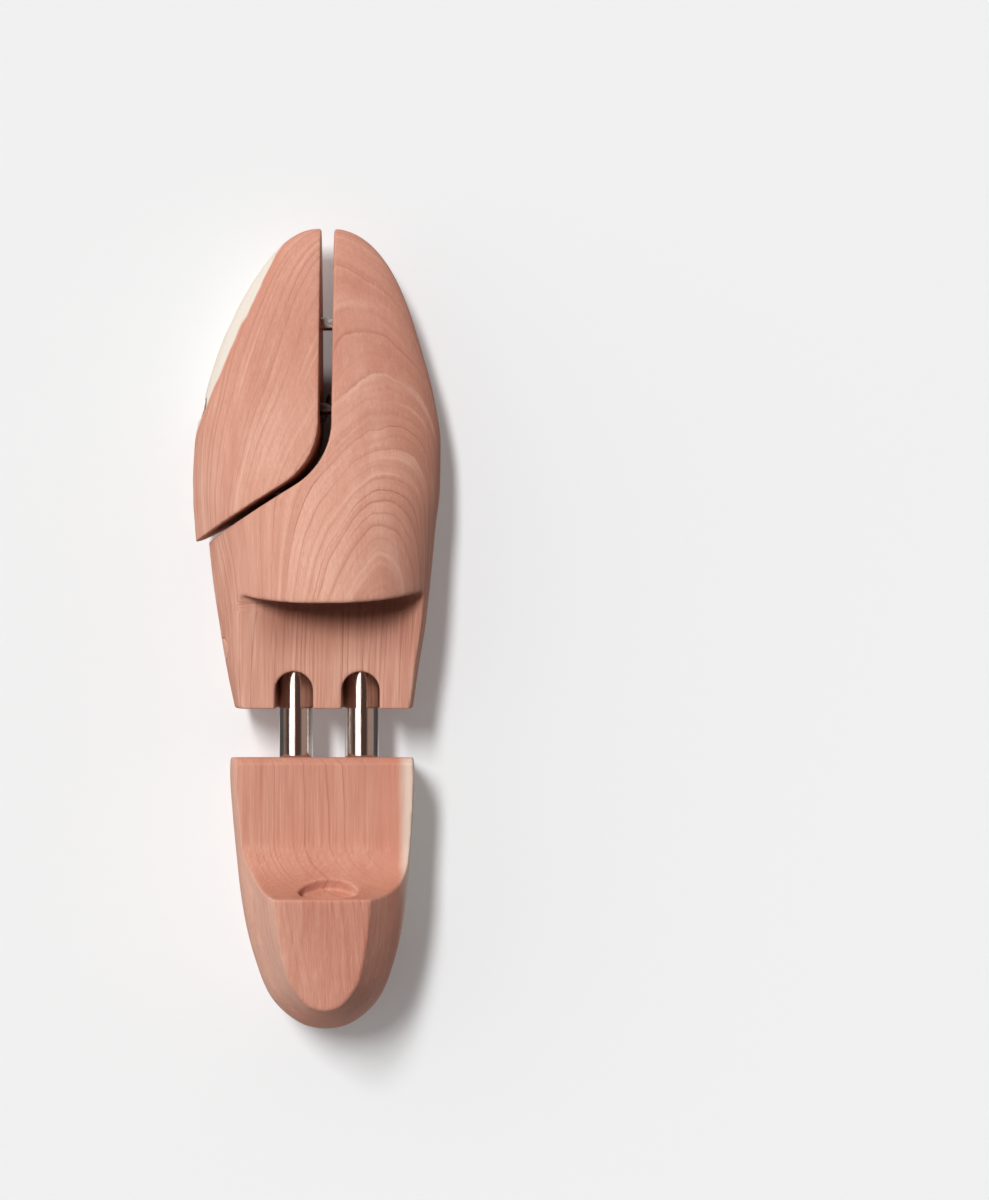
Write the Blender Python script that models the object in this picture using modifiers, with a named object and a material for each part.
"""Sprung cedar shoe tree for a left shoe, as an assembly of its separate pieces.

+Y points to the toe, +X to the medial side (the big toe's side), +Z up.  The
origin lies on the forepart's flat sole, 40 mm ahead of its rear face and midway
between the two tubes.  Lengths below are millimetres, and at() turns them into
metres.  "y" in the dimensions counts forward from the forepart's rear face.
"""

import math

import bmesh
import bpy
from mathutils import Matrix, Vector

MM = 0.001
ORIGIN_Y = 40.0  # the origin's distance ahead of the forepart's rear face

# Fits shared by several joints
HOLE_GAP = 0.7  # hole diameter over pin, rod or plug diameter
END_GAP = 0.4  # between a pin, rod or plug and the end of its hole
SLEEVE_GAP = 0.3  # radial, inside the tubes and round the plunger rods

# ------------------------------------------------------- forepart dimensions
TOE_Y = 172.0  # toe tip
TOE_X = 0.8
TOE_Z = 15.5
OUTSIDE_X = -60.0  # lateral of the forepart's flank, where side bores start

# Forepart stations: y, lateral half-width, medial half-width (both shut, from
# the x = 0 plane), ridge x, ridge z, z of the widest level, sole z, and the
# fullness exponents of the lateral and medial shoulders (0.5 is an ellipse,
# larger is a straighter slope, smaller a boxier shoulder).
STATIONS = (
    (0.0, 33.6, 30.0, 6.0, 59.0, 20.0, 0.0, 0.55, 0.36),
    (12.0, 36.2, 31.6, 7.0, 58.5, 20.0, 0.0, 0.66, 0.37),
    (30.0, 39.3, 34.5, 8.0, 57.3, 20.0, 0.0, 0.80, 0.38),
    (48.0, 41.9, 36.5, 8.0, 54.6, 20.0, 0.0, 0.82, 0.40),
    (64.0, 43.4, 38.0, 8.0, 51.0, 20.0, 0.0, 0.76, 0.42),
    (78.0, 44.2, 39.6, 7.5, 47.2, 20.0, 0.0, 0.67, 0.44),
    (94.0, 43.5, 39.9, 6.5, 42.6, 20.0, 0.0, 0.58, 0.46),
    (111.0, 39.9, 37.5, 5.0, 38.0, 20.0, 0.2, 0.52, 0.48),
    (128.0, 34.7, 33.0, 4.0, 33.8, 19.8, 1.6, 0.50, 0.50),
    (146.0, 26.5, 27.2, 2.5, 29.4, 19.2, 4.4, 0.50, 0.50),
    (157.0, 19.7, 21.9, 1.6, 26.2, 18.4, 6.8, 0.50, 0.50),
    (166.0, 12.3, 14.8, 1.0, 22.4, 17.2, 9.8, 0.50, 0.50),
)
# The same columns after y, where the stations close at the toe tip
TIP_VALUES = (-TOE_X, TOE_X, TOE_X, TOE_Z, TOE_Z, TOE_Z, 0.5, 0.5)

SIDE_TUCK = 0.19  # share of the half-width by which the sides draw in at the sole
TUCK_POWER = 2.3
TOE_TUCK = 0.21  # extra draw-in near the toe, and how fast it fades
TOE_TUCK_FADE = 3.0

# Segments along the forepart and round its section
RINGS = 24
SHOULDER_STEPS = 8
SIDE_STEPS = 3
SOLE_STEPS = 4

# The step behind the instep dome
PLATFORM_Z = 35.0  # top of the low platform behind the dome
STEP_Y = 39.2  # foot of the instep's rear wall
STEP_LEAN = 3.2  # how far the wall's top hangs rearward of its foot
STEP_CURL = 2.4  # how far the wall's two ends sweep forward of its middle
STEP_MEDIAL_CURL = 0.45  # the medial end's share of that sweep
STEP_MIDDLE_X = 1.0
STEP_HALF_W = 33.0  # from the middle to the full sweep
STEP_YAW = 2.0  # degrees, plan angle of that wall

# The split of the toe
CUT_X = 1.65  # main body's side of the lengthwise cut
CUT_CORNER_Y = 86.0  # where the lengthwise cut would meet the diagonal
CUT_ANGLE = 31.0  # degrees, the diagonal's fall towards the rear
CUT_RADIUS = 26.0
CUT_REACH = 64.0  # the diagonal's sideways reach from the lengthwise cut
CUT_STEPS = 6
SPREAD = 4.6  # the wing's sideways travel from shut to its rest position
WING_OUTSIDE_X = -66.0  # bores in the wing run from here ...
WING_INSIDE_X = 8.0  # ... to here, past the split

# Guide pins along X: name, y, lateral end, medial end, start of the body's hole
PIN_D = 5.0
PIN_HOLE_D = PIN_D + HOLE_GAP
GUIDE_Z = 18.0
GUIDE_PINS = (
    ("front", 137.5, -28.5, 20.0, -8.0),
    ("rear", 77.0, -42.5, 5.0, OUTSIDE_X),
)

# Spread spring and its screw, along X
SPRING_Y = 107.0
SPRING_Z = 20.5
SPREAD_SPRING_X = (-21.0, 13.0)
POCKET_D = 12.4
POCKET_GAP = 1.0  # between the spring's end and the pocket's floor
SCREW_X = -35.2  # outer face of the screw's head
SCREW_R = 2.0
SCREW_HEAD_R = 3.5
SCREW_HEAD_H = 2.6
SCREW_LENGTH = 64.4
HEX_D = 3.4
HEX_FLOOR_X = -33.6
FLANK_BORE_D = 8.0
FLANK_BORE_END_X = -31.0
WASHER_X = -31.8  # middle of the washer's thickness

# --------------------------------------------------- tube and hinge dimensions
TUBE_X = 11.75
TUBE_Z = 22.0
TUBE_D = 12.0
TUBE_BORE_D = 10.4
TUBE_FRONT_Y = 28.0
TUBE_REAR_Y = -60.0
TUBE_PLUG_REAR_Y = 13.8
SIDES = (("lateral", -TUBE_X), ("medial", TUBE_X))

HINGE_Y = 21.0
HINGE_PIN_X = 25.0  # half the hinge pin's length
HINGE_PLUG_BORE_D = 8.0
HINGE_PLUG_BORE_X = -30.0  # floor of the plug's bore
HINGE_PLUG_OUTER_X = -36.9

CHANNEL_W = TUBE_D + 1.4
CHANNEL_FLOOR_Z = 14.0
CHANNEL_ROOF_Z = 31.0
CHANNEL_END_Y = 29.8
CHANNEL_START_Y = -6.0  # behind the forepart's rear face
SLOT_CENTRE_Y = 6.4  # centre of the slot's round end in the platform
SLOT_H = 40.0  # height of the slot's cutter

BUSH_REAR_Y = TUBE_REAR_Y + 0.2
BUSH_FRONT_Y = TUBE_REAR_Y + 4.2
ROD_D = 7.0
ROD_HEAD_D = 9.6
ROD_HEAD_Y = TUBE_REAR_Y + 4.5  # rear of the plunger rod's head
ROD_HEAD_H = 3.0
ROD_REAR_Y = -96.0
MAIN_SPRING_REAR_Y = ROD_HEAD_Y + 4.0
MAIN_SPRING_FRONT_Y = 13.0

# ------------------------------------------------------ heel block dimensions
HEEL_FRONT_Y = -17.0
HEEL_BACK_Y = -114.2
HEEL_X = -2.4  # midline of the plan at the front face
HEEL_DRIFT = 1.3  # the midline moves this far medially ...
HEEL_DRIFT_LENGTH = 96.4  # ... over this length
HEEL_STEPS = 12  # segments down each side of the plan
SEAT_Z = 37.0
SEAT_BEVEL = 2.4  # at the seat's front edge
HEEL_TOP_Z = 62.0
SCOOP_FOOT_Y = -46.0  # where the flat seat starts to rise
SCOOP_LIP_Y = -64.3  # front edge of the raised top
SCOOP_STEPS = 8
HEEL_TOP_FALL = 4.0  # degrees, fall of the raised top towards the rear
FRONT_LEAN = 3.0  # degrees, the heel's front face leans forward at its top
HEEL_BORE_D = TUBE_D + 0.8
HEEL_BORE_Y = -82.0

THUMB_D = 20.5  # across; the recess is lower than it is wide
THUMB_SQUASH = 0.8  # height over width
THUMB_TILT = 28.0  # degrees, the recess's opening turned up from level
THUMB_CUTTER_H = 20.0
THUMB_FLOOR = (1.2, -66.7, 49.7)  # centre of the recess's floor

ANCHOR_Y = -90.0
ANCHOR_D = 3.0
ANCHOR_HOLE_D = ANCHOR_D + HOLE_GAP
ANCHOR_X = 18.6  # half the anchor pin's length
ANCHOR_PLUG_BORE_D = 7.0
ANCHOR_PLUG_BORE_X = -20.5  # floor of the plug's bore
ANCHOR_PLUG_OUTER_X = -25.0
HEEL_OUTSIDE_X = -50.0  # lateral of the heel's flank

# Heel levels: z, scale of the plan outline across and along, sideways shift.
LEVELS = (
    (0.0, 0.83, 0.935, 0.0),
    (3.0, 0.885, 0.955, 0.0),
    (8.0, 0.945, 0.979, 0.0),
    (14.0, 0.985, 0.994, 0.0),
    (22.0, 1.0, 1.0, 0.0),
    (30.0, 0.985, 0.990, 0.6),
    (37.0, 0.945, 0.972, 1.7),
    (41.0, 0.896, 0.958, 2.6),
    (46.0, 0.835, 0.939, 2.85),
    (54.0, 0.715, 0.908, 2.3),
    (64.0, 0.540, 0.866, 1.4),
)

# Heel plan at its widest level: distance behind the front face, half-width.
HEEL_PLAN = (
    (0.0, 32.6), (6.0, 32.9), (20.0, 32.2), (34.0, 31.1), (46.0, 30.0),
    (58.0, 28.3), (68.0, 26.1), (75.0, 24.0), (80.5, 22.1), (86.0, 19.3),
    (90.0, 16.0), (93.5, 11.8), (95.6, 8.2),
)


def at(x, y, z):
    """A point given in millimetres, y counted from the forepart's rear face."""
    return Vector((x * MM, (y - ORIGIN_Y) * MM, z * MM))


# Plan outlines stand on the XY plane, side profiles on the YZ plane.
PLAN = Matrix.Translation(at(0, 0, 0))
SIDE = PLAN @ Matrix(((0, 0, 1, 0), (1, 0, 0, 0), (0, 1, 0, 0), (0, 0, 0, 1)))
WING_SHIFT = Matrix.Translation((-SPREAD * MM, 0, 0))


# ------------------------------------------------------------ scene and finish
def start_afresh():
    """Empties the scene and returns collections for the parts and the cutters."""
    for obj in list(bpy.data.objects):
        bpy.data.objects.remove(obj, do_unlink=True)
    groups = [bpy.data.collections.new(n) for n in ("shoe_tree", "shoe_tree_cutters")]
    for group in groups:
        bpy.context.scene.collection.children.link(group)
    return groups


def material(name, colour, roughness, metallic):
    made = bpy.data.materials.new(name)
    made.use_nodes = True
    shader = made.node_tree.nodes["Principled BSDF"]
    shader.inputs["Base Color"].default_value = (*colour, 1.0)
    shader.inputs["Roughness"].default_value = roughness
    shader.inputs["Metallic"].default_value = metallic
    made.diffuse_color = (*colour, 1.0)
    return made


PARTS, CUTTERS = start_afresh()
CEDAR = material("red_cedar", colour=(0.62, 0.33, 0.24), roughness=0.6, metallic=0.0)
NICKEL = material(
    "bright_nickel_plate", colour=(0.72, 0.70, 0.67), roughness=0.12, metallic=1.0
)
STEEL = material("bare_steel", colour=(0.52, 0.50, 0.48), roughness=0.3, metallic=1.0)
BRASS = material("turned_brass", colour=(0.75, 0.58, 0.32), roughness=0.28, metallic=1.0)


def move_to(obj, group):
    for other in list(obj.users_collection):
        other.objects.unlink(obj)
    group.objects.link(obj)


def piece(obj, finish):
    """Puts an object among the parts, with its own copy of the finish."""
    move_to(obj, PARTS)
    own = finish.copy()
    own.name = f"{obj.name}_{finish.name}"
    obj.data.materials.clear()
    obj.data.materials.append(own)
    obj.data.shade_smooth()
    obj.data.set_sharp_from_angle(angle=math.radians(35))
    return obj


def cut(obj, cutter, operation="DIFFERENCE"):
    """Adds a boolean step and puts its cutter, hidden, among the cutters."""
    move_to(cutter, CUTTERS)
    cutter.name = f"cut_{obj.name}_{len(obj.modifiers):02d}_{cutter.name}"
    cutter.hide_render = True
    cutter.display_type = "WIRE"
    step = obj.modifiers.new(cutter.name, "BOOLEAN")
    step.operation = operation
    step.object = cutter
    step.solver = "EXACT"


# -------------------------------------------------------------- solid builders
def loft(name, rings, tip=None):
    """Joins equal rings of points into one closed skin."""
    shape = bmesh.new()
    loops = [[shape.verts.new(point) for point in ring] for ring in rings]
    count = len(loops[0])
    for one, two in zip(loops, loops[1:]):
        for i in range(count):
            j = (i + 1) % count
            shape.faces.new((one[i], one[j], two[j], two[i]))
    shape.faces.new(loops[0])
    last = loops[-1]
    if tip is None:
        shape.faces.new(last)
    else:
        point = shape.verts.new(tip)
        for i in range(count):
            shape.faces.new((last[i], last[(i + 1) % count], point))
    bmesh.ops.recalc_face_normals(shape, faces=shape.faces)
    mesh = bpy.data.meshes.new(name)
    shape.to_mesh(mesh)
    shape.free()
    return bpy.data.objects.new(name, mesh)


def as_mesh(obj, drop_slivers):
    """Replaces an object by its evaluated shape as a welded mesh, normals out.

    The new object is made while the old one still holds the name, so its own
    name ends in .001.
    """
    bpy.context.scene.collection.objects.link(obj)
    bpy.context.view_layer.update()
    seen = obj.evaluated_get(bpy.context.evaluated_depsgraph_get())
    mesh = bpy.data.meshes.new_from_object(seen)
    shape = bmesh.new()
    shape.from_mesh(mesh)
    bmesh.ops.remove_doubles(shape, verts=shape.verts, dist=1e-6)
    if drop_slivers:
        bmesh.ops.dissolve_degenerate(shape, edges=shape.edges, dist=1e-7)
    bmesh.ops.recalc_face_normals(shape, faces=shape.faces)
    shape.to_mesh(mesh)
    shape.free()
    made = bpy.data.objects.new(obj.name, mesh)
    made.matrix_world = obj.matrix_world.copy()
    bpy.data.objects.remove(obj, do_unlink=True)
    return made


def add_poly_line(curve, points):
    """Adds a straight-sided spline through (x, y, z) points in millimetres."""
    line = curve.splines.new("POLY")
    line.points.add(len(points) - 1)
    for point, (x, y, z) in zip(line.points, points):
        point.co = (x * MM, y * MM, z * MM, 1.0)
    return line


def prism(name, outline, thickness, place):
    """A flat outline given thickness to both sides of its plane."""
    flat = bpy.data.curves.new(name, "CURVE")
    flat.dimensions = "2D"
    flat.fill_mode = "BOTH"
    flat.extrude = thickness * MM / 2
    line = add_poly_line(flat, [(x, y, 0.0) for x, y in outline])
    line.use_cyclic_u = True
    made = bpy.data.objects.new(name, flat)
    made.matrix_world = place
    return as_mesh(made, drop_slivers=True)


def rod(name, diameter, start, end, turn, sides):
    """A cylinder between two points, its own Z axis turned along them."""
    bpy.ops.mesh.primitive_cylinder_add(
        vertices=sides, radius=diameter * MM / 2, depth=(end - start).length
    )
    made = bpy.context.active_object
    made.name = name
    made.matrix_world = Matrix.Translation((start + end) / 2) @ turn
    return made


def rod_x(name, diameter, lateral, medial, y, z, sides=24):
    """A cylinder along X between two x values."""
    turn = Matrix.Rotation(math.radians(90), 4, "Y")
    return rod(name, diameter, at(lateral, y, z), at(medial, y, z), turn, sides)


def rod_y(name, diameter, x, rear, front, sides=24):
    """A cylinder along Y between two y values, at the tubes' height."""
    turn = Matrix.Rotation(math.radians(90), 4, "X")
    return rod(name, diameter, at(x, rear, TUBE_Z), at(x, front, TUBE_Z), turn, sides)


def block(name, low, high):
    """A box primitive between two corners given in millimetres."""
    a, b = at(*low), at(*high)
    bpy.ops.mesh.primitive_cube_add(size=1.0)
    made = bpy.context.active_object
    made.name = name
    made.data.transform(Matrix.Diagonal((*(b - a), 1.0)))
    made.matrix_world = Matrix.Translation((a + b) / 2)
    return made


def frame_x(x, y, z):
    """Local Z along +X, origin at a point in millimetres."""
    return Matrix.Translation(at(x, y, z)) @ Matrix.Rotation(math.radians(90), 4, "Y")


def tube_frame(x):
    """Local Z along +Y on a tube's axis, so that local z is y."""
    return Matrix.Translation(at(x, 0, TUBE_Z)) @ Matrix.Rotation(
        math.radians(-90), 4, "X"
    )


def turned(name, profile, place, steps):
    """A turned shape: (radius, height) points in millimetres, spun about its
    own Z axis.  A profile that never touches the axis is closed on itself."""
    mesh = bpy.data.meshes.new(name)
    points = [(radius * MM, 0.0, height * MM) for radius, height in profile]
    edges = [(i, i + 1) for i in range(len(points) - 1)]
    if all(radius > 0 for radius, _ in profile):
        edges.append((len(points) - 1, 0))
    mesh.from_pydata(points, edges, [])
    made = bpy.data.objects.new(name, mesh)
    spin = made.modifiers.new("turned", "SCREW")
    spin.axis = "Z"
    spin.steps = steps
    spin.render_steps = steps
    spin.use_smooth_shade = True
    spin.use_merge_vertices = True
    spin.merge_threshold = 0.00001
    made.matrix_world = place
    made = as_mesh(made, drop_slivers=False)
    made.name = name
    return made


def sleeve(name, outer, inner, rear, front, place, steps):
    """A turned ring given by two radii and its two ends."""
    profile = [(outer, front), (outer, rear), (inner, rear), (inner, front)]
    return turned(name, profile, place, steps)


def helix(radius, wire, start, end, turns, per_turn):
    """Points of a compression spring with close end coils, start to end."""
    close_turns = 0.75  # turns in each close end
    close_pitch = 1.35  # pitch of the close ends, in wire diameters
    length = end - start
    count = turns * per_turn
    close = close_turns / turns  # share of the turns in each close end
    climb = wire * close_pitch * close_turns / length  # its share of the length
    points = []
    for i in range(count + 1):
        wound = i / count
        if wound < close:
            risen = climb * wound / close
        elif wound > 1 - close:
            risen = 1 - climb * (1 - wound) / close
        else:
            risen = climb + (1 - 2 * climb) * (wound - close) / (1 - 2 * close)
        angle = 2 * math.pi * i / per_turn
        points.append(
            (radius * math.cos(angle), radius * math.sin(angle), start + length * risen)
        )
    return points


def spring(name, points, wire, place):
    """A round wire bent through the points."""
    line = bpy.data.curves.new(name, "CURVE")
    line.dimensions = "3D"
    line.bevel_depth = wire * MM / 2
    line.bevel_resolution = 1
    line.use_fill_caps = True
    add_poly_line(line, points)
    made = bpy.data.objects.new(name, line)
    made.matrix_world = place
    made = as_mesh(made, drop_slivers=True)
    made.name = name
    return made


# ------------------------------------------------------------- forepart's skin
def curve_through(points):
    """A monotone cubic through (place, value) points, places rising."""
    places = [point[0] for point in points]
    values = [point[1] for point in points]
    n = len(places)
    steps = [places[i + 1] - places[i] for i in range(n - 1)]
    slopes = [(values[i + 1] - values[i]) / steps[i] for i in range(n - 1)]
    tangents = [slopes[0]] + [0.0] * (n - 2) + [slopes[-1]]
    for i in range(1, n - 1):
        if slopes[i - 1] * slopes[i] > 0:
            before, after = steps[i - 1], steps[i]
            tangents[i] = 3 * (before + after) / (
                (2 * after + before) / slopes[i - 1] + (after + 2 * before) / slopes[i]
            )

    def value(place):
        place = min(max(place, places[0]), places[-1])
        i = 0
        while i < n - 2 and place > places[i + 1]:
            i += 1
        u = (place - places[i]) / steps[i]
        return (
            values[i] * (1 + 2 * u) * (1 - u) ** 2
            + tangents[i] * steps[i] * u * (1 - u) ** 2
            + values[i + 1] * u * u * (3 - 2 * u)
            + tangents[i + 1] * steps[i] * u * u * (u - 1)
        )

    return value


def root_from_toe(y):
    """Stations run along the root of the distance from the toe: a round nose."""
    return math.sqrt(max(TOE_Y - y, 0.0))


def station_curve(column, at_tip):
    rows = [(root_from_toe(row[0]), row[column]) for row in reversed(STATIONS)]
    return curve_through([(0.0, at_tip)] + rows)


SECTION_CURVES = [station_curve(i, tip) for i, tip in enumerate(TIP_VALUES, start=1)]


def forepart_ring(root):
    """The forepart's cross-section as (x, z): over the top, down the medial
    side, back under the sole, up the lateral side."""
    (lateral_w, medial, ridge_x, ridge_z, wide_z, sole_z, full_lateral, full_medial) = (
        curve(root) for curve in SECTION_CURVES
    )
    lateral = -lateral_w

    def shoulder(edge, fullness, share):
        """A point at a share of the way from the ridge down to the edge."""
        angle = 0.5 * math.pi * share
        return (
            ridge_x + (edge - ridge_x) * math.sin(angle),
            wide_z + (ridge_z - wide_z) * math.cos(angle) ** (2 * fullness),
        )

    tuck = SIDE_TUCK * (medial - lateral) / 2
    tuck += TOE_TUCK * root * math.exp(-root / TOE_TUCK_FADE)
    ring = []
    for i in range(SHOULDER_STEPS):
        ring.append(shoulder(lateral, full_lateral, 1 - i / SHOULDER_STEPS))
    for i in range(SHOULDER_STEPS):
        ring.append(shoulder(medial, full_medial, i / SHOULDER_STEPS))
    for i in range(SIDE_STEPS):
        down = i / SIDE_STEPS
        ring.append((medial - tuck * down**TUCK_POWER, wide_z + (sole_z - wide_z) * down))
    for i in range(SOLE_STEPS):
        over = i / SOLE_STEPS
        ring.append((medial - tuck + (lateral - medial + 2 * tuck) * over, sole_z))
    for i in range(SIDE_STEPS):
        down = 1 - i / SIDE_STEPS
        ring.append((lateral + tuck * down**TUCK_POWER, wide_z + (sole_z - wide_z) * down))
    return ring


def forepart_skin(name):
    """The whole forepart, before the toe is split."""
    reach = root_from_toe(0.0)
    rings = []
    for i in range(RINGS):
        root = reach * (1 - i / RINGS)
        y = TOE_Y - root * root
        rings.append([at(x, y, z) for x, z in forepart_ring(root)])
    return loft(name, rings, at(TOE_X, TOE_Y, TOE_Z))


# -------------------------------------------------------- forepart's two pieces
def split_prism(place):
    """The region the wing takes: lateral of the lengthwise cut and ahead of
    the diagonal, which meet in a round corner."""
    slope = math.radians(CUT_ANGLE)
    turn = math.pi / 2 - slope
    front = TOE_Y + 12
    beyond = -75.0
    centre_x = CUT_X - CUT_RADIUS
    centre_y = CUT_CORNER_Y + CUT_RADIUS * math.tan(turn / 2)
    points = [(CUT_X, front)]
    for i in range(CUT_STEPS + 1):
        angle = -turn * i / CUT_STEPS
        points.append(
            (
                centre_x + CUT_RADIUS * math.cos(angle),
                centre_y + CUT_RADIUS * math.sin(angle),
            )
        )
    end_y = CUT_CORNER_Y - CUT_REACH * math.tan(slope)
    points += [(CUT_X - CUT_REACH, end_y), (beyond, end_y), (beyond, front)]
    return prism("split", points, 160, place)


def step_cutter():
    """What is cleared above the platform: one side profile repeated across,
    its wall swept forward at the ends."""
    behind = -12.0
    top_y = STEP_Y - STEP_LEAN
    wall = [
        (behind, PLATFORM_Z),
        (STEP_Y - 2.5, PLATFORM_Z),
        (STEP_Y - 0.8, PLATFORM_Z + 0.8),
        (STEP_Y, PLATFORM_Z + 2.5),
        (top_y, PLATFORM_Z + 26),
        (top_y, PLATFORM_Z + 50),
        (behind, PLATFORM_Z + 50),
    ]
    rings = []
    for x in range(-60, 61, 6):
        curl = STEP_CURL * (1.0 if x < 0 else STEP_MEDIAL_CURL)
        sweep = curl * min(abs(x - STEP_MIDDLE_X) / STEP_HALF_W, 1.25) ** 4
        sweep += x * math.tan(math.radians(STEP_YAW))
        rings.append([at(x, y + (sweep if y > 0 else 0), z) for y, z in wall])
    return loft("step", rings)


def cut_tube_channel(body, x):
    """A boxed channel round the tube, and a round-ended slot above it."""
    half = CHANNEL_W / 2
    low = (x - half, CHANNEL_START_Y, CHANNEL_FLOOR_Z)
    high = (x + half, CHANNEL_END_Y, CHANNEL_ROOF_Z)
    cut(body, block("channel", low, high))
    slot = [
        (x - half, CHANNEL_START_Y),
        (x + half, CHANNEL_START_Y),
        (x + half, SLOT_CENTRE_Y),
    ]
    for i in range(1, 12):
        angle = math.pi * i / 12
        slot.append((x + half * math.cos(angle), SLOT_CENTRE_Y + half * math.sin(angle)))
    slot.append((x - half, SLOT_CENTRE_Y))
    lift = Matrix.Translation((0, 0, (CHANNEL_FLOOR_Z + 0.5 + SLOT_H / 2) * MM))
    cut(body, prism("slot", slot, SLOT_H, lift @ PLAN))


def make_body():
    body = piece(forepart_skin("forepart_body"), CEDAR)
    cut(body, split_prism(PLAN))
    cut(body, step_cutter())
    for _, x in SIDES:
        cut_tube_channel(body, x)
    hole_end = HINGE_PIN_X + 0.5
    hinge = (HINGE_Y, TUBE_Z)
    cut(body, rod_x("hinge_hole", PIN_HOLE_D, OUTSIDE_X, hole_end, *hinge))
    cut(
        body,
        rod_x("plug_bore", HINGE_PLUG_BORE_D, OUTSIDE_X, HINGE_PLUG_BORE_X, *hinge, 16),
    )
    for name, y, _, medial, start in GUIDE_PINS:
        hole = rod_x(
            f"{name}_pin_hole", PIN_HOLE_D, start, medial + END_GAP, y, GUIDE_Z, 16
        )
        cut(body, hole)
    pocket_end = SPREAD_SPRING_X[1] + POCKET_GAP
    cut(body, rod_x("pocket", POCKET_D, -12, pocket_end, SPRING_Y, SPRING_Z))
    screw_hole_d = 2 * SCREW_R + HOLE_GAP
    cut(body, rod_x("screw_hole", screw_hole_d, 10, 30, SPRING_Y, SPRING_Z, 12))


def make_wing():
    """The toe's lateral piece, standing clear of the body by the spread."""
    wing = forepart_skin("toe_wing")
    wing.matrix_world = WING_SHIFT
    piece(wing, CEDAR)
    cut(wing, split_prism(WING_SHIFT @ PLAN), "INTERSECT")
    start, end = WING_OUTSIDE_X, WING_INSIDE_X
    for name, y, *_ in GUIDE_PINS:
        cut(wing, rod_x(f"{name}_pin_hole", PIN_HOLE_D, start, end, y, GUIDE_Z, 16))
    axis = (SPRING_Y, SPRING_Z)
    cut(wing, rod_x("screw_hole", 2 * SCREW_R + 1.0, start, end, *axis, 12))
    cut(wing, rod_x("flank_bore", FLANK_BORE_D, start, FLANK_BORE_END_X, *axis))
    cut(wing, rod_x("pocket", POCKET_D, SPREAD_SPRING_X[0] - POCKET_GAP, end, *axis))


# ------------------------------------------------------- the split's hardware
def make_guide_pins():
    for name, y, lateral, medial, _ in GUIDE_PINS:
        piece(rod_x(f"{name}_guide_pin", PIN_D, lateral, medial, y, GUIDE_Z, 16), STEEL)


def make_spread_screw():
    """A socket-head screw, its head on the lateral side."""
    profile = [
        (0.0, SCREW_LENGTH),
        (SCREW_R - 0.6, SCREW_LENGTH),
        (SCREW_R, SCREW_LENGTH - 1.0),
        (SCREW_R, SCREW_HEAD_H),
        (SCREW_HEAD_R, SCREW_HEAD_H),
        (SCREW_HEAD_R, 0.7),
        (SCREW_HEAD_R - 0.6, 0.0),
        (0.0, 0.0),
    ]
    place = frame_x(SCREW_X, SPRING_Y, SPRING_Z)
    screw = piece(turned("spread_screw", profile, place, 16), STEEL)
    cut(screw, rod_x("hex", HEX_D, -40, HEX_FLOOR_X, SPRING_Y, SPRING_Z, 6))


def make_spread_washer():
    place = frame_x(WASHER_X, SPRING_Y, SPRING_Z)
    piece(sleeve("spread_washer", 3.7, 2.5, -0.5, 0.5, place, 20), STEEL)


def make_spread_spring():
    wire = 1.4
    start, end = SPREAD_SPRING_X
    coil = helix(radius=4.7, wire=wire, start=start, end=end, turns=7, per_turn=14)
    piece(spring("spread_spring", coil, wire, frame_x(0, SPRING_Y, SPRING_Z)), STEEL)


# ---------------------------------------------------------- tubes and hinge
def make_hinge():
    """The pin through both tubes, and the cedar plug that closes its hole."""
    hinge = (HINGE_Y, TUBE_Z)
    piece(rod_x("hinge_pin", PIN_D, -HINGE_PIN_X, HINGE_PIN_X, *hinge, 16), STEEL)
    plug = rod_x(
        "hinge_pin_plug",
        HINGE_PLUG_BORE_D - HOLE_GAP,
        HINGE_PLUG_OUTER_X,
        HINGE_PLUG_BORE_X - END_GAP,
        *hinge,
        16,
    )
    piece(plug, CEDAR)


def cut_eye(obj, diameter, x, y, sides):
    """A cross hole through a piece on a tube's axis."""
    cut(obj, rod_x("eye", diameter, x - 9, x + 9, y, TUBE_Z, sides))


def make_tube(side, x):
    """A tube with the brass plug in its front end and the bush in its rear."""
    place = tube_frame(x)
    bore = TUBE_BORE_D / 2
    tube = sleeve(
        f"{side}_tube", TUBE_D / 2, bore, TUBE_REAR_Y, TUBE_FRONT_Y, place, 28
    )
    plug = rod_y(
        f"{side}_tube_plug",
        TUBE_BORE_D - 2 * SLEEVE_GAP,
        x,
        TUBE_PLUG_REAR_Y,
        TUBE_FRONT_Y - 0.3,
        20,
    )
    cut_eye(piece(tube, NICKEL), PIN_HOLE_D, x, HINGE_Y, 16)
    cut_eye(piece(plug, BRASS), PIN_HOLE_D, x, HINGE_Y, 16)
    bush = sleeve(
        f"{side}_tube_bush",
        bore - SLEEVE_GAP,
        ROD_D / 2 + SLEEVE_GAP,
        BUSH_REAR_Y,
        BUSH_FRONT_Y,
        place,
        20,
    )
    piece(bush, BRASS)


def make_plunger(side, x):
    """The headed rod that slides in a tube and is pinned in the heel block."""
    radius, head_radius = ROD_D / 2, ROD_HEAD_D / 2
    head_front = ROD_HEAD_Y + ROD_HEAD_H
    profile = [
        (0.0, head_front),
        (head_radius - 0.5, head_front),
        (head_radius, head_front - 0.5),
        (head_radius, ROD_HEAD_Y),
        (radius, ROD_HEAD_Y),
        (radius, ROD_REAR_Y + 0.8),
        (radius - 0.8, ROD_REAR_Y),
        (0.0, ROD_REAR_Y),
    ]
    plunger = turned(f"{side}_plunger_rod", profile, tube_frame(x), 20)
    cut_eye(piece(plunger, STEEL), ANCHOR_HOLE_D, x, ANCHOR_Y, 12)


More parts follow.
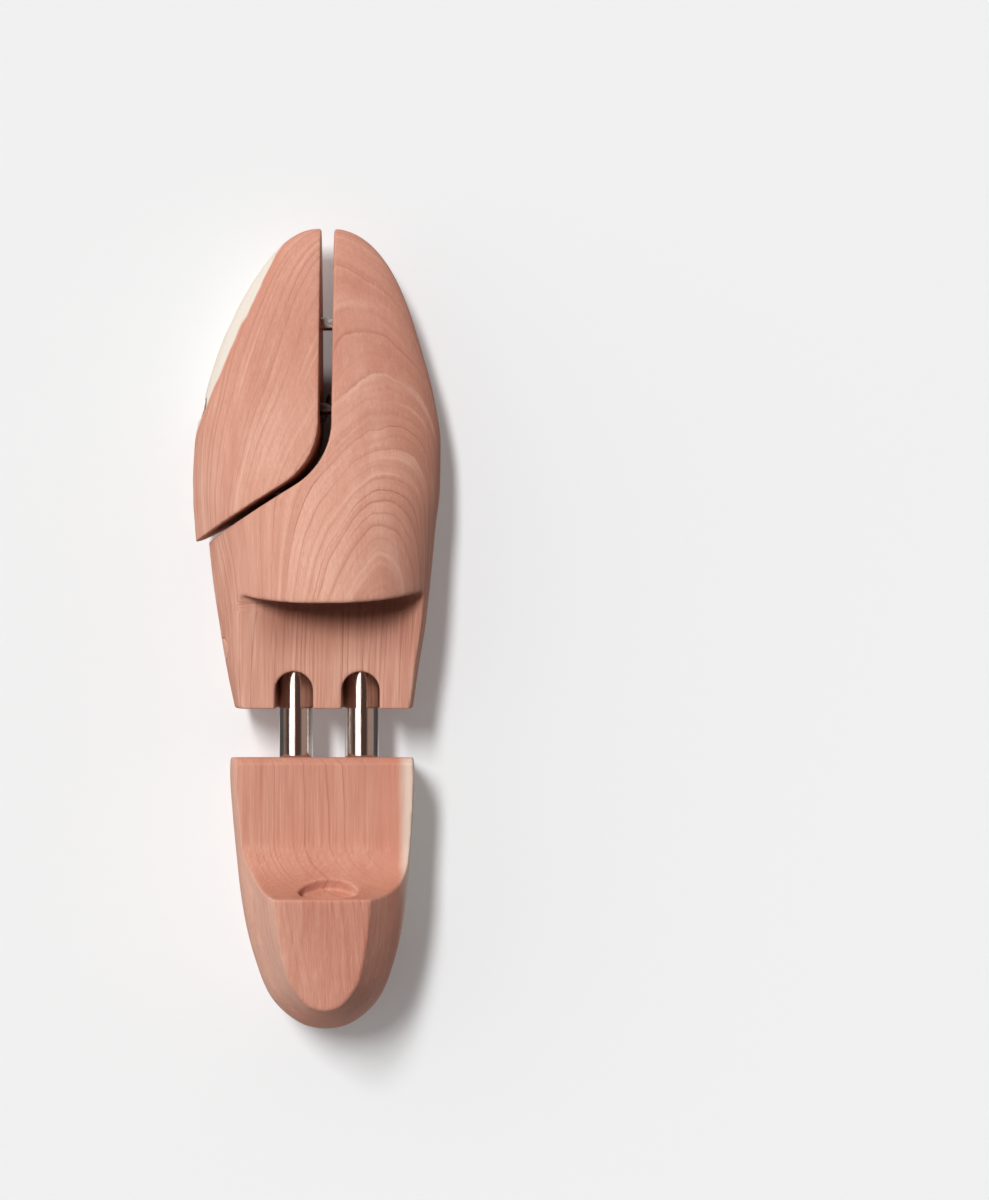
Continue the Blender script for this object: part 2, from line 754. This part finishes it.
def make_main_spring(side, x):
    wire = 1.2
    coil = helix(
        radius=4.0,
        wire=wire,
        start=MAIN_SPRING_REAR_Y,
        end=MAIN_SPRING_FRONT_Y,
        turns=10,
        per_turn=12,
    )
    piece(spring(f"{side}_main_spring", coil, wire, tube_frame(x)), STEEL)


# ----------------------------------------------------------------- heel block
def heel_outline():
    """The heel's widest plan as (x, y), medial front corner round to lateral."""
    length = HEEL_FRONT_Y - HEEL_BACK_Y
    rows = [(math.sqrt(length - behind), width) for behind, width in reversed(HEEL_PLAN)]
    half_width = curve_through([(0.0, 0.0)] + rows)
    medial, lateral = [], []
    for i in range(HEEL_STEPS + 1):
        root = math.sqrt(length) * (1 - i / HEEL_STEPS)
        y = HEEL_BACK_Y + root * root
        middle = HEEL_X + HEEL_DRIFT * (HEEL_FRONT_Y - y) / HEEL_DRIFT_LENGTH
        medial.append((middle + half_width(root), y))
        lateral.append((middle - half_width(root), y))
    # both sides end at the same point at the back
    return medial + lateral[-2::-1]


def heel_skin():
    outline = heel_outline()
    rings = []
    for z, across, along, shift in LEVELS:
        ring = []
        for x, y in outline:
            level_x = HEEL_X + (x - HEEL_X) * across + shift
            ring.append(at(level_x, HEEL_FRONT_Y - (HEEL_FRONT_Y - y) * along, z))
        rings.append(ring)
    return loft("heel_block", rings)


def scoop_cutter():
    """What is cut away above the heel's seat and its raised, falling top."""
    ahead, behind, above = HEEL_FRONT_Y + 25, HEEL_BACK_Y - 12, 95.0
    edge_z = SEAT_Z - SEAT_BEVEL
    points = [
        (ahead, edge_z),
        (HEEL_FRONT_Y, edge_z),
        (HEEL_FRONT_Y - SEAT_BEVEL, SEAT_Z),
    ]
    deep, high = SCOOP_FOOT_Y - SCOOP_LIP_Y, HEEL_TOP_Z - SEAT_Z
    for i in range(SCOOP_STEPS + 1):
        # the quarter ellipse stops a little short of upright
        angle = 0.5 * math.pi * 0.965 * i / SCOOP_STEPS
        points.append(
            (SCOOP_FOOT_Y - deep * math.sin(angle), SEAT_Z + high * (1 - math.cos(angle)))
        )
    lip_y = points[-1][0]
    lip_z = points[-1][1] + 1.6
    fall = math.tan(math.radians(HEEL_TOP_FALL))
    points += [
        (lip_y - 0.5, lip_z),
        (behind, lip_z - fall * (lip_y - behind)),
        (behind, above),
        (ahead, above),
    ]
    return prism("scoop", points, 160, SIDE)


def lean_cutter():
    """Trims the front face so that it leans forward at its top."""
    slope = math.tan(math.radians(FRONT_LEAN))
    ahead, low, high = HEEL_FRONT_Y + 20, -5.0, 60.0
    edge_z = SEAT_Z - SEAT_BEVEL
    profile = [
        (ahead, low),
        (ahead, high),
        (HEEL_FRONT_Y - (edge_z - high) * slope, high),
        (HEEL_FRONT_Y - (edge_z - low) * slope, low),
    ]
    return prism("lean", profile, 160, SIDE)


def thumb_cutter():
    """An oval recess sunk into the steep wall under the raised top's lip."""
    depth = THUMB_CUTTER_H * MM
    bpy.ops.mesh.primitive_cylinder_add(
        vertices=28, radius=THUMB_D * MM / 2, depth=depth
    )
    thumb = bpy.context.active_object
    thumb.name = "thumb"
    thumb.data.transform(Matrix.Diagonal((1.0, THUMB_SQUASH, 1.0, 1.0)))
    tilt = math.radians(THUMB_TILT)
    out = Vector((0, math.cos(tilt), math.sin(tilt)))
    turn = Vector((0, 0, 1)).rotation_difference(out).to_matrix().to_4x4()
    thumb.matrix_world = Matrix.Translation(at(*THUMB_FLOOR) + out * (depth / 2)) @ turn
    return thumb


def make_heel():
    heel = piece(heel_skin(), CEDAR)
    for cutter in (scoop_cutter, lean_cutter, thumb_cutter):
        cut(heel, cutter())
    for _, x in SIDES:
        cut(heel, rod_y("tube_bore", HEEL_BORE_D, x, HEEL_BORE_Y, HEEL_FRONT_Y + 8))
        rod_bore = rod_y(
            "rod_bore", ROD_D + HOLE_GAP, x, ROD_REAR_Y - END_GAP, HEEL_BORE_Y + 4, 20
        )
        cut(heel, rod_bore)
    start = HEEL_OUTSIDE_X
    anchor = (ANCHOR_Y, TUBE_Z)
    cut(heel, rod_x("anchor_hole", ANCHOR_HOLE_D, start, ANCHOR_X + END_GAP, *anchor, 12))
    cut(heel, rod_x("plug_bore", ANCHOR_PLUG_BORE_D, start, ANCHOR_PLUG_BORE_X, *anchor, 16))


def make_rod_anchor():
    """The pin that holds both plunger rods, and its cedar plug."""
    anchor = (ANCHOR_Y, TUBE_Z)
    piece(rod_x("rod_anchor_pin", ANCHOR_D, -ANCHOR_X, ANCHOR_X, *anchor, 12), STEEL)
    plug = rod_x(
        "rod_anchor_plug",
        ANCHOR_PLUG_BORE_D - HOLE_GAP,
        ANCHOR_PLUG_OUTER_X,
        ANCHOR_PLUG_BORE_X - END_GAP,
        *anchor,
        16,
    )
    piece(plug, CEDAR)


# ------------------------------------------------- joints' places, as empties
def make_joint(name, place, pieces):
    """An empty at a joint, made parent of the pieces that move with it."""
    hub = bpy.data.objects.new(f"joint_{name}", None)
    hub.empty_display_size = 0.01
    hub.matrix_world = Matrix.Translation(place)
    PARTS.objects.link(hub)
    for piece_name in pieces:
        child = bpy.data.objects[piece_name]
        stay = child.matrix_world.copy()
        child.parent = hub
        child.matrix_parent_inverse = hub.matrix_world.inverted()
        child.matrix_world = stay


make_body()
make_wing()
make_guide_pins()
make_spread_screw()
make_spread_washer()
make_spread_spring()
make_hinge()
for side_name, side_x in SIDES:
    make_tube(side_name, side_x)
    make_plunger(side_name, side_x)
    make_main_spring(side_name, side_x)
make_heel()
make_rod_anchor()

make_joint("toe_spread", at(-SPREAD, SPRING_Y, GUIDE_Z), ["toe_wing"])
make_joint(
    "tube_hinge",
    at(0, HINGE_Y, TUBE_Z),
    [
        f"{side_name}_{part}"
        for side_name, _ in SIDES
        for part in ("tube", "tube_plug", "tube_bush", "main_spring")
    ],
)
make_joint(
    "heel_slide",
    at(0, HEEL_FRONT_Y, TUBE_Z),
    [
        "heel_block",
        "lateral_plunger_rod",
        "medial_plunger_rod",
        "rod_anchor_pin",
        "rod_anchor_plug",
    ],
)
bpy.context.view_layer.update()
